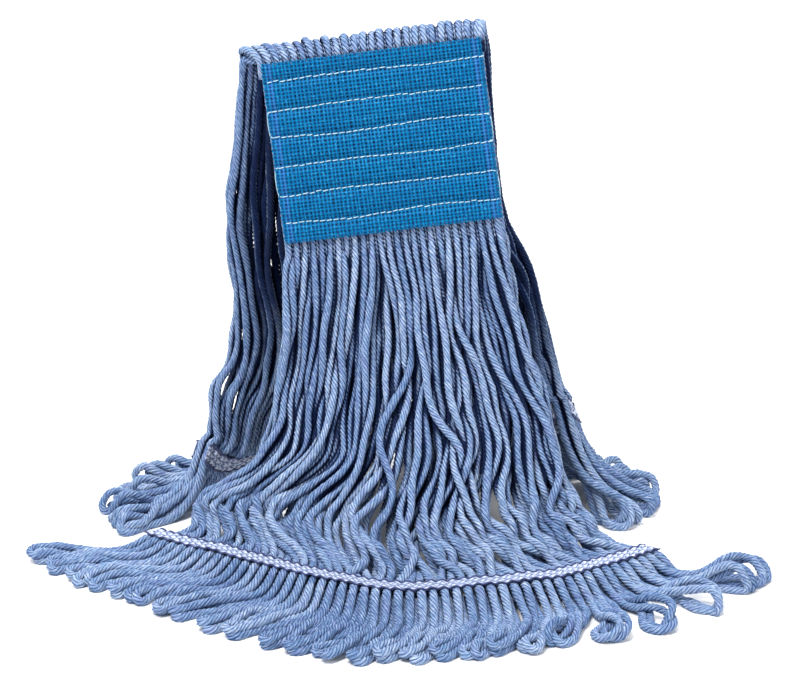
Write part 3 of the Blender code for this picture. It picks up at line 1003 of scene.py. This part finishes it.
def yarn_material():
    m = Nodes("blended_mop_yarn")
    fibre = m.attribute("fibre", "Vector")
    tone, crown, crowd = m.attribute("tone"), m.attribute("crown"), m.attribute("crowd")
    hair = m.noise(m.scaled(fibre, (2.8, 2.8, 0.7)), 2.2, 4.0, 0.64)
    fleck = m.noise(m.scaled(fibre, (1.2, 1.2, 0.55)), 1.6, 2.0, 0.5)
    base = m.ramp(
        m.total((hair, 0.9), (fleck, 0.12), (tone, 0.045)), (0.36, srgb(48, 72, 114)),
        (0.46, srgb(98, 124, 166)), (0.56, srgb(140, 162, 196)), (0.67, srgb(196, 209, 226)),
    )
    tint = m.noise(m.scaled(fibre, (0.8, 0.8, 0.32)), 1.0, 2.0, 0.5)
    base = m.mix(m.span(tint, 0.54, 0.74, 0.0, 0.34), base, srgb(120, 118, 178))
    base = m.mix(m.span(tint, 0.48, 0.26, 0.0, 0.3), base, srgb(104, 148, 186))
    # painted shade in the grooves between the plies
    groove = m.span(crown, 0.83, 1.0, 0.74, 0.0)
    base = m.mix(groove, base, srgb(14, 38, 84))
    # painted shade: dark navy where other yarns lie close, in the hollow above the heap and in the dark space between
    # the halves
    base = m.mix(m.span(crowd, 0.08, 0.62, 0.0, 0.95), base, srgb(0, 14, 52))
    m.set(Base_Color=base, Roughness=0.9, Specular_IOR_Level=0.06)
    m.bump(m.maths("ADD", m.maths("MULTIPLY", hair, 0.9), crown), 0.6, 0.0006)
    return m.material


def mesh_material():
    m = Nodes("coated_mesh_weave")
    weave = m.attribute("weave")  # height of the thread, near 0 in the holes to 1; it paints shade towards the holes and light on the crossings
    edge = m.attribute("selvedge")
    place = m.place()
    cloud = m.noise(place, 46.0, 3.0, 0.55)
    grain = m.noise(place, 900.0, 2.0, 0.6)
    # painted shade and light: darker where the thread dips to the holes, lighter on the crossings, with random grain
    base = m.ramp(
        m.total((weave, 0.7), (grain, 0.3)),
        (0.15, srgb(0, 50, 92)), (0.5, srgb(0, 80, 128)), (0.9, srgb(4, 126, 176)),
    )
    base = m.mix(m.span(cloud, 0.35, 0.7, 0.0, 0.3), base, srgb(0, 66, 118))
    glint = m.span(m.noise(place, 620.0, 1.0, 0.5), 0.56, 0.72, 0.0, 0.55)
    base = m.mix(m.maths("MULTIPLY", glint, weave), base, srgb(58, 160, 208))
    # the woven edge is paler, with the same painted shade towards the holes
    pale = m.ramp(weave, (0.2, srgb(4, 60, 116)), (0.9, srgb(60, 112, 182)))
    base = m.mix(m.maths("MULTIPLY", edge, 0.6), base, pale)
    rough = m.span(grain, 0.3, 0.7, 0.42, 0.6)
    m.set(Base_Color=base, Roughness=rough, Specular_IOR_Level=0.07)
    m.bump(grain, 0.25, 0.0003)
    return m.material


def thread_material(name, scale, dark, pale, roughness, bump):
    """Twisted thread: dark and pale are each a place in the noise and a colour."""
    m = Nodes(name)
    twist = m.noise(m.place(), scale, 2.0, 0.6)
    m.set(Base_Color=m.ramp(twist, dark, pale), Roughness=roughness, Sheen_Weight=0.2)
    if bump:
        m.bump(twist, bump, 0.0002)
    return m.material


def tape_material():
    m = Nodes("tail_band_braid")
    braid = m.attribute("braid")
    place = m.place()
    fuzz = m.noise(place, 1400.0, 3.0, 0.6)
    stain = m.noise(place, 60.0, 2.0, 0.5)
    # painted shade: dark in the hollows between the braid's strands, pale on its ridges, with random fuzz
    base = m.ramp(
        m.total((braid, 0.8), (fuzz, 0.25)), (0.3, srgb(18, 30, 74)),
        (0.45, srgb(104, 120, 160)), (0.62, srgb(164, 176, 204)), (0.92, srgb(216, 222, 234)),
    )
    base = m.mix(m.span(stain, 0.5, 0.8, 0.0, 0.3), base, srgb(150, 164, 198))
    m.set(Base_Color=base, Roughness=0.7, Sheen_Weight=0.25)
    m.bump(fuzz, 0.35, 0.0003)
    return m.material


YARN_LOOK = yarn_material()
MESH_LOOK = mesh_material()
THREAD_LOOK = thread_material(
    "white_sewing_thread", 1600.0, (0.3, srgb(112, 158, 184)), (0.65, srgb(186, 214, 226)), 0.55, 0.4
)
TAPE_LOOK = tape_material()
EDGE_LOOK = thread_material(
    "tail_band_edge_thread", 1500.0, (0.3, srgb(12, 20, 62)), (0.7, srgb(46, 62, 124)), 0.6, None
)


# ---- camera, light and floor
CAMERA_TARGET = np.array((0.0028, 0.038, 0.1413))
CAMERA_AWAY = 2.4
CAMERA_DOWN = math.radians(19.0)
CAMERA_LENS = 152.6  # in millimetres, with the sensor
CAMERA_SENSOR = 36.0
LAMPS = {  # place, aim, size and power
    "key": ((-0.8, -1.3, 2.2), (0, 0, 0.12), 0.7, 56.0),
    "fill": ((1.5, -1.4, 1.2), (0, 0, 0.12), 1.0, 14.0),
    "back": ((0.2, 2.2, 2.0), (0, 0.6, 0.0), 1.4, 40.0),
    "top": ((-0.2, -0.4, 2.4), (0, -0.1, 0.0), 0.8, 30.0),
}
FLOOR_SIZE = 6.0
WORLD_LIGHT = 0.55


def build_camera():
    data = bpy.data.cameras.new("camera")
    data.lens = CAMERA_LENS
    data.sensor_width = CAMERA_SENSOR
    camera = bpy.data.objects.new("camera", data)
    away = np.array((0.0, -math.cos(CAMERA_DOWN), math.sin(CAMERA_DOWN)))
    camera.location = CAMERA_TARGET + CAMERA_AWAY * away
    camera.rotation_euler = (math.radians(90.0) - CAMERA_DOWN, 0.0, 0.0)
    bpy.context.scene.collection.objects.link(camera)
    bpy.context.scene.camera = camera


def build_lamp(name, where, aim, size, power):
    light = bpy.data.lights.new(name, "AREA")
    light.shape = "DISK"
    light.size = size
    light.energy = power
    obj = bpy.data.objects.new(name, light)
    obj.location = where
    way = np.array(where) - np.array(aim)
    flat = math.hypot(way[0], way[1])
    obj.rotation_euler = (math.atan2(flat, way[2]), 0.0, math.atan2(way[0], -way[1]))
    bpy.context.scene.collection.objects.link(obj)


def build_stage():
    build_camera()
    bpy.context.scene.view_settings.view_transform = "Standard"
    for name, settings in LAMPS.items():
        build_lamp(name, *settings)

    world = bpy.data.worlds.new("studio")
    world.use_nodes = True
    backdrop = world.node_tree.nodes["Background"]
    backdrop.inputs["Color"].default_value = (1, 1, 1, 1)
    backdrop.inputs["Strength"].default_value = WORLD_LIGHT
    bpy.context.scene.world = world

    m = Nodes("pale_floor")
    m.set(Roughness=0.9, Base_Color=(0.92, 0.92, 0.92, 1.0))
    corners = np.array([(-1, -1, 0), (1, -1, 0), (1, 1, 0), (-1, 1, 0)], float) * FLOOR_SIZE
    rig.stage(mesh_from("floor", corners, [np.array([[0, 1, 2, 3]])], m.material))


# ---- the headband
PANEL_COLUMNS = 55
PANEL_ROWS = 49
PANEL_THICK = 0.001
DENSE_COLUMNS = 4  # openings at each end that the woven edge makes smaller
PUFF = 0.0028  # how far the mesh could rise between two rows of stitching
PUFF_KEPT = 0.8
STITCH_FIRST = 0.0135
STITCH_PITCH = 0.0201
STITCH_ROWS = 6
STITCH_LONG = 0.0047
STITCH_GAP = 0.26  # share of a stitch's length between two stitches
THREAD_RADIUS = 0.00042
AROUND_A_HOLE = ((0, 0), (1, 0), (2, 0), (2, 1), (2, 2), (1, 2), (0, 2), (0, 1))
EDGE_TURNS = {2: -1, 3: 1, 4: -1, 5: 1}  # rows whose thread turns round the edge, and at which end


def seam_up(row, across):
    """Height of a row of stitching at a place across the band: sewn by hand and eye, so it wavers."""
    x = across / BAND_WIDTH
    base = STITCH_FIRST + row * STITCH_PITCH
    return base + 0.0007 * np.sin(2.3 * math.pi * x + row * 1.9) + 0.0004 * np.sin(9 * x + row * 4.1)


def puff(across, up):
    """How far the mesh stands proud of its stitched lines."""
    best = np.full(np.shape(up), 1.0)
    for row in range(STITCH_ROWS):
        best = np.minimum(best, np.abs(up - seam_up(row, across)))
    rise = smooth(best / 0.0062)
    end = smooth((BAND_WIDTH / 2 - np.abs(across)) / 0.008)
    return PUFF * rise * (0.45 + 0.55 * end)


def panel_out(across, up):
    """How far the mesh lies in front of the band's middle plane."""
    return BAND_HALF - PANEL_THICK + puff(across, up) * PUFF_KEPT


class Panel:
    """The points of one mesh panel: layer 0 is its outer skin and layer 1 its inner one."""

    def __init__(self, side, rng):
        self.side = side
        nx, ny = PANEL_COLUMNS, PANEL_ROWS
        self.ends = (2 * nx, 2 * ny)
        self.even_x = np.linspace(-BAND_WIDTH / 2, BAND_WIDTH / 2, 2 * nx + 1)
        self.even_y = np.linspace(0.0, BAND_HEIGHT, 2 * ny + 1)
        wave_x = 0.0003 * rng.normal(size=2 * nx + 1)
        wave_y = 0.00022 * rng.normal(size=2 * ny + 1)
        wave_x[[0, -1]] = 0
        wave_y[[0, -1]] = 0
        self.x, self.y = self.even_x + wave_x, self.even_y + wave_y
        self.verts, self.weave, self.selvedge = [], [], []
        self.index = {}

    def put(self, x, y, lift, height, layer):
        """A new point, with the height of the thread there."""
        out = panel_out(np.array(x), np.array(y)) + (lift if layer == 0 else -0.0007)
        self.verts.append(band_point(x, y, out * self.side))
        self.weave.append(height)
        inset = BAND_WIDTH / 2 - abs(x)
        edge = smooth((0.007 - inset) / 0.001) * smooth((inset - 0.0026) / 0.001)
        self.selvedge.append(float(edge))
        return len(self.verts) - 1

    def grid(self, i, j, layer):
        """The point at crossing i, j: even numbers are on the threads' middle lines."""
        key = (i, j, layer)
        if key not in self.index:
            x = self.x[i] + 0.00012 * math.sin(j * 0.9 + i)
            y = self.y[j] + 0.00012 * math.sin(i * 1.3 + j)
            if i in (0, self.ends[0]):
                x = self.even_x[i] + 0.0004 * math.sin(j * 1.7)
            if j in (0, self.ends[1]):
                y = self.even_y[j] + 0.0005 * math.sin(i * 2.1)
            over = ((i // 2 + j // 2) % 2) * 2 - 1
            if i % 2 == 0 and j % 2 == 0:
                lift, height = 0.0003 + 0.0001 * over, 1.0
            elif i % 2 == 0:
                lift, height = 0.00012, 0.72
            else:
                lift, height = 0.00006, 0.62
            self.index[key] = self.put(x, y, lift, height, layer)
        return self.index[key]


def build_panel(word, side):
    """One coated mesh panel with real openings."""
    rng = np.random.default_rng(31 if side > 0 else 32)
    panel = Panel(side, rng)
    grid, put = panel.grid, panel.put
    nx, ny = PANEL_COLUMNS, PANEL_ROWS
    quads, tris = [], []
    for a in range(nx):
        for b in range(ny):
            i, j = 2 * a, 2 * b
            border = [(i + p, j + q) for p, q in AROUND_A_HOLE]
            x0, x1 = panel.x[i], panel.x[i + 2]
            y0, y1 = panel.y[j], panel.y[j + 2]
            closer = 0.37 if DENSE_COLUMNS <= a < nx - DENSE_COLUMNS else 0.41
            wide = closer + 0.03 * rng.normal()
            tall = 0.32 + 0.03 * rng.normal()
            cx, cy = (x0 + x1) / 2, (y0 + y1) / 2
            hx, hy = (x1 - x0) * (0.5 - wide), (y1 - y0) * (0.5 - tall)
            ring = [(cx - hx, cy - hy), (cx + hx, cy - hy), (cx + hx, cy + hy), (cx - hx, cy + hy)]
            hole = []
            for layer in (0, 1):
                h = [put(x, y, -0.00012, 0.12, layer) for x, y in ring]
                g = [grid(p, q, layer) for p, q in border]
                hole.append(h)
                made = []
                for k in range(4):
                    here, mid, there = g[2 * k], g[2 * k + 1], g[(2 * k + 2) % 8]
                    n = (k + 1) % 4
                    made += [(here, mid, h[k]), (mid, h[n], h[k]), (mid, there, h[n])]
                flip = (side > 0) == (layer == 1)
                tris += [t[::-1] for t in made] if flip else made
            for k, n in ((0, 1), (1, 2), (2, 3), (3, 0)):
                q = (hole[0][k], hole[0][n], hole[1][n], hole[1][k])
                quads.append(q if side > 0 else q[::-1])
    rim = (
        [(i, 0) for i in range(2 * nx)]
        + [(2 * nx, j) for j in range(2 * ny)]
        + [(i, 2 * ny) for i in range(2 * nx, 0, -1)]
        + [(0, j) for j in range(2 * ny, 0, -1)]
    )
    for k, (p, q) in enumerate(rim):
        r, s = rim[(k + 1) % len(rim)]
        f = (grid(p, q, 0), grid(p, q, 1), grid(r, s, 1), grid(r, s, 0))
        quads.append(f if side > 0 else f[::-1])
    obj = mesh_from(
        f"headband_panel_{word}", np.array(panel.verts), [np.array(tris), np.array(quads)],
        MESH_LOOK, weave=np.array(panel.weave), selvedge=np.array(panel.selvedge),
    )
    assign(obj, "headband", "coated_mesh", f"headband_{word}_mesh")
    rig.sheet(obj, flat=(BAND_WIDTH, BAND_HEIGHT), held="laid", rests_on=["headband_yarn_core"])


def thread_tubes(name, lines, radius, around, mat):
    """Several short round threads in one mesh, closed at their ends."""
    verts, quads, tris = [], [], []
    at = 0
    for line in lines:
        n = len(line)
        verts.append(tube_points(line, radius, circle(around)[None, :]).reshape(-1, 3))
        quads.append(tube_faces(n, around, at))
        tris.append(cap_faces(n, around, at))
        at += n * around
    return mesh_from(name, np.vstack(verts), [np.vstack(quads), np.vstack(tris)], mat)


def stitch(row, x, long, side, rng):
    """One stitch that begins at x: it dives into the mesh at both its ends."""
    t = np.linspace(0, 1, 8)
    xs = x + long * (STITCH_GAP / 2 + (1 - STITCH_GAP) * t)
    ups = seam_up(row, xs) + 0.00022 * rng.normal() + 0.0003 * (t - 0.5)
    arch = 0.00052 * np.sqrt(np.maximum(1 - (2 * t - 1) ** 2, 0.0)) - 0.00025
    outs = panel_out(xs, ups) + 0.00022 + arch
    return band_point(xs, ups, outs * side)


def edge_turn(row, way):
    """The slack thread that turns round the band's edge from a row to the one below it."""
    t = np.linspace(0, 1, 40)
    rim = way * BAND_WIDTH / 2
    ups = seam_up(row, rim) * (1 - t) + seam_up(row - 1, rim) * t
    bow = np.sin(math.pi * t)
    xs = rim - way * (0.0024 - 0.003 * bow**0.22)
    slack = 0.0021 * bow**0.5 * (0.75 + 0.25 * np.sin(7 * t + row))
    return band_point(xs, ups, panel_out(xs, ups) + 0.0003 - slack)


def build_stitches(word, side):
    """Six rows of lockstitch. On the front the thread turns round the edge between some rows."""
    for row in range(STITCH_ROWS):
        number = STITCH_ROWS - row
        rng = np.random.default_rng(60 + row + (0 if side > 0 else 10))
        lines = []
        x = -BAND_WIDTH / 2 + 0.0022
        while x < BAND_WIDTH / 2 - 0.003:
            long = STITCH_LONG * rng.uniform(0.88, 1.1)
            lines.append(stitch(row, x, long, side, rng))
            x += long
        if side > 0 and number in EDGE_TURNS:
            lines.append(edge_turn(row, EDGE_TURNS[number]))
        obj = thread_tubes(f"{word}_stitching_{number}", lines, THREAD_RADIUS, 6, THREAD_LOOK)
        assign(obj, "headband", "thread", f"{word}_stitch_row_{number}")


# ---- the tail bands
TAPE_ROWS = 13  # points across a tape
TAPE_POINTS = {"front": 420, "rear": 350}  # points along a tape
TAPE_LIFT = 0.0065  # out from the middle of the yarn to the middle of the tape
TAPE_HALF = 0.0004  # half its thickness
PLAITS = 3.0
PLAIT_PITCH = 0.0046
SEWING_PITCH = 0.0078  # the edging pulls the tape in once in this length
EDGE_RADIUS = 0.00068


def tape_frame(half, side, count):
    """Middle line, direction across the tape and way out, along a tail band."""
    kind = HALVES[half]
    u = np.linspace(0.0, 1.0, count)
    tail = spline(kind["tail"], u)
    run = kind["run"](u)
    out = surface(kind["middle"], kind["sign"], np.clip(u, 0.004, 0.996), np.ones(count))[2]
    out = unit(out - run * (out * run).sum(1, keepdims=True))
    return tail, run, out * side


def braid_height(a, long):
    """Height of the braid's crossing strands along one line of a tape, a from -1 to 1 across it."""
    lane = (a + 1) / 2 * PLAITS
    inside = lane - np.floor(lane)
    slant = np.abs(inside - 0.5) * 2
    phase = long / PLAIT_PITCH + slant * 0.55 + 0.5 * (int(min(lane, PLAITS - 1e-6)) % 2)
    ridge = 0.5 + 0.5 * np.cos(TAU * phase)
    groove = np.sin(math.pi * inside) ** 0.5 if 0 < inside < 1 else 0.0
    return 0.15 + 0.85 * ridge**0.7 * (0.35 + 0.65 * groove)


def strip_faces(count, rows):
    """Quads of a closed strip: its top, its bottom and the wall round them."""
    n = count * rows
    i = np.arange(count - 1)[:, None] * rows + np.arange(rows - 1)[None, :]
    face = np.stack([i, i + rows, i + rows + 1, i + 1], -1).reshape(-1, 4)
    ring = list(range(rows)) + [r * rows + rows - 1 for r in range(1, count)]
    ring += list(range(n - 2, n - rows - 1, -1)) + [r * rows for r in range(count - 2, 0, -1)]
    ring = np.array(ring)
    onward = np.roll(ring, -1)
    wall = np.stack([ring, onward, onward + n, ring + n], -1)
    return np.vstack([face, face[:, ::-1] + n, wall[:, ::-1]])


def build_tape(half, word, side):
    """A braided strip sewn across the yarn, with a thread along each edge."""
    count = TAPE_POINTS[half]
    tail, run, out = tape_frame(half, side, count)
    long = runs_along(tail)
    rng = np.random.default_rng(80 + (half == "rear") * 2 + (side < 0))
    sag = 0.0007 * np.sin(long / SEWING_PITCH * TAU) + 0.0004 * uneven(long, 0.012, 0.02, rng)
    drift = 0.0006 * uneven(long, 0.02, 0.03, rng)
    top, low, braid = [], [], []
    for a in np.linspace(-1, 1, TAPE_ROWS):
        height = braid_height(a, long)
        rise = TAPE_LIFT + sag + TAPE_HALF + 0.0005 * height * (1 - 0.35 * a * a)
        place = tail + run * (a * TAPE_WIDE / 2 + drift)[:, None]
        top.append(place + out * rise[:, None])
        low.append(place + out * (TAPE_LIFT + sag - TAPE_HALF)[:, None])
        # the braid's height also paints shade in its hollows, and darker still at the tape's edges
        braid.append(height * (0.75 if abs(a) > 0.99 else 1.0))
    top, low, braid = np.stack(top, 1), np.stack(low, 1), np.stack(braid, 1)
    verts = np.vstack([top.reshape(-1, 3), low.reshape(-1, 3)])
    faces = strip_faces(count, TAPE_ROWS)
    corner, onward, _, across = verts[faces[0]]
    if np.cross(onward - corner, across - corner) @ out[0] < 0:
        faces = faces[:, ::-1]
    # the underside gets an even painted shade
    shade = np.concatenate([braid.reshape(-1), np.full(braid.size, 0.4)])
    obj = mesh_from(f"{half}_tape_{word}", verts, [faces], TAPE_LOOK, braid=shade)
    assign(obj, f"{half}_half", "tail_band", f"{half}_tail_band_{word}")
    made = []
    for edge, sign in (("inner", -1), ("outer", 1)):
        scallop = 0.0009 * np.abs(np.sin(long / SEWING_PITCH * math.pi))
        shift = sign * (TAPE_WIDE / 2 + 0.0002 + scallop) + drift
        line = tail + run * shift[:, None] + out * (TAPE_LIFT + sag + 0.0006)[:, None]
        line = resample(line, int(long[-1] / 0.0013))
        tube = thread_tubes(f"{half}_tape_{word}_{edge}_thread", [line], EDGE_RADIUS, 6, EDGE_LOOK)
        assign(tube, f"{half}_half", "tail_band_edging", f"{half}_tail_{word}_{edge}_edge")
        made.append(tube)
    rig.sheet(
        obj, flat=(TAPE_WIDE, float(long[-1])), held="laid",
        rests_on=[f"{half}_yarn_outer"], with_pieces=made,
    )


# ---- putting it together
def yarn_swell(line):
    """The yarn is thicker over the fold, and where it lies loose near the floor."""
    fold = smooth(((line - BAND_FOOT) @ UP - BAND_HEIGHT + 0.01) / 0.006)
    return 0.1 * fold + 0.09 * (1 - smooth((line[:, 2] - 0.03) / 0.06))


def yarn_shade(half, line, strand, skin, crowd):
    """How much painted shade each point of the skin gets: less where the yarn lies open on the floor."""
    lying = 1 - smooth((line[:, 2] - 0.016) / 0.05)
    crowd = crowd * (1 - 0.8 * lying[:, None])
    if half == "front":
        # the hollow where the hanging yarn meets the heap is dim, so it gets more painted shade
        crowd = crowd * (1 + 0.4 * bump(line[:, 2], 0.085, 0.055)[:, None])
    # painted shadow where the yarn faces the space between the halves
    return np.maximum(crowd, 0.66 * painted_inner_shadow(half, line, strand, skin))


def bend_of(half):
    """Where a half's yarn begins and ends its bend at the band, and the nodes it replaces."""
    if half == "front":
        start, end = band_point(0, 0.0, 0), band_point(0, -0.03, 0)
        return start, end, [f"front_yarn_lock_{i}" for i in range(1, 10)] + ["headband_yarn_core"]
    fold, way = band_point(0, BAND_HEIGHT, 0), unit(-UP - FRONT)
    start, end = fold + way * 0.0128, fold + way * 0.034
    return start, end, [f"rear_yarn_lock_{i}" for i in range(1, 9)] + ["top_fold_yarn"]


def build_yarn():
    jobs = [(half, layer) for half in ("front", "rear") for layer in range(LAYERS)]
    seeds = [300 + 10 * layer + (half == "rear") for half, layer in jobs]
    chains = [build_chain(half, layer) for half, layer in jobs]
    settled = settle(chains, QUICK_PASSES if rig.quick() else PASSES)
    made = [rings(points, chain[2], RING) for points, chain in zip(settled, chains)]
    skins = [yarn_skin(line, run, seed, yarn_swell(line)) for (line, run, _), seed in zip(made, seeds)]
    crowds = crowding([line for line, _, _ in made], skins)
    for (half, layer), seed, (line, run, strand), skin, crowd in zip(jobs, seeds, made, skins, crowds):
        shade = yarn_shade(half, line, strand, skin, crowd)
        obj = yarn_mesh(f"{half}_yarn_{LAYER_NAMES[layer]}", run, strand, seed, skin, shade)
        start, end, nodes = bend_of(half)
        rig.blend(obj, "headband", f"{half}_half", start, end)
        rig.replaces(obj, *nodes)
        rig.slot(obj, "yarn")
        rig.cord(
            obj, exit=line[0], length=float(run[-1]), diameter=YARN, far_end="object",
            stiffness="limp", lay="hanging", path=line,
        )


def main():
    build_stage()
    build_yarn()
    for build in (build_panel, build_stitches):
        build("front", 1)
        build("back", -1)
    for half, outer, inner in (("front", "upper", "lower"), ("rear", "outer", "inner")):
        build_tape(half, outer, 1)
        build_tape(half, inner, -1)
    with open("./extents.json", "w") as report:
        json.dump([BOUNDS_OF_CAD, [list(corner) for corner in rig.bounds()]], report)


main()
